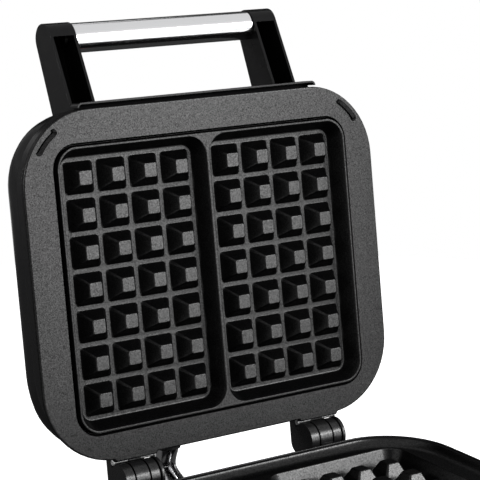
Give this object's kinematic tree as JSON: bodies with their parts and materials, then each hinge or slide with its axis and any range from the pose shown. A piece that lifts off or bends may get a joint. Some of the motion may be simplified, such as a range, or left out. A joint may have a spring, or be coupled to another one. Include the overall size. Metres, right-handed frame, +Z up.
{
  "type": "belgian waffle maker",
  "caption": "Open belgian waffle maker: hinged lid and base with deep non-stick grid plates, black housings, a tube handle on two arms and a steel wiring conduit at the hinge.",
  "frame": {"origin": "centre of the bounding box, on the surface that the feet stand on", "axes": "+Z up, -Y to the front, where the user stands, +X to the user's right along the hinge; the lid stands open"},
  "size_m": [0.2724, 0.342, 0.3517],
  "materials": {
    "nonstick_plate": "die-cast, dark grey non-stick coating with a fine speckle",
    "housing": "black, fine satin grain",
    "hinge_black": "black, satin",
    "polished_steel": "polished",
    "steel": "plain mill finish",
    "rubber": "matt black",
    "ceramic": "off-white, unglazed",
    "red_lens": "clear-tinted, glossy",
    "green_lens": "clear-tinted, glossy"
  },
  "bodies": {
    "base": {"base_shell": "housing", "bottom_cover": "housing", "lower_grid_plate": "nonstick_plate", "lower_heating_element": "steel", "lower_heat_shield": "steel", "thermostat": "steel", "thermal_fuse": "ceramic", "terminal_block": "ceramic", "wiring_conduit": "polished_steel", "base_conduit_collar": "rubber", "cord_inlet_bush": "rubber", "lower_plate_screw_left": "steel", "hinge_bracket_left": "hinge_black", "hinge_pin_left": "hinge_black", "bracket_screw_left": "steel", "foot_rear_left": "rubber", "cover_screw_rear_left": "steel", "foot_front_left": "rubber", "cover_screw_front_left": "steel", "lower_plate_screw_right": "steel", "hinge_bracket_right": "hinge_black", "hinge_pin_right": "hinge_black", "bracket_screw_right": "steel", "foot_rear_right": "rubber", "cover_screw_rear_right": "steel", "foot_front_right": "rubber", "cover_screw_front_right": "steel"},
    "lid": {"upper_grid_plate": "nonstick_plate", "lid_frame": "housing", "lid_shell": "housing", "handle_tube": "polished_steel", "upper_heating_element": "steel", "upper_heat_shield": "steel", "power_lamp": "red_lens", "ready_lamp": "green_lens", "lid_conduit_collar": "rubber", "handle_arm_left": "housing", "handle_plug_left": "housing", "handle_screw_left": "steel", "arm_screw_left": "steel", "hinge_arm_left": "hinge_black", "hinge_screw_left": "steel", "plate_pin_left": "steel", "plate_catch_left": "hinge_black", "upper_plate_screw_left": "steel", "handle_arm_right": "housing", "handle_plug_right": "housing", "handle_screw_right": "steel", "arm_screw_right": "steel", "hinge_arm_right": "hinge_black", "hinge_screw_right": "steel", "plate_pin_right": "steel", "plate_catch_right": "hinge_black", "upper_plate_screw_right": "steel"}
  },
  "joints": [
    {"name": "lid_hinge", "type": "hinge", "parent": "base", "child": "lid", "pos_m": [0, 0.07125, 0.0632], "axis": [1, 0, 0], "range_deg": [0, 98.7], "deforming": ["wiring_conduit"]}
  ]
}
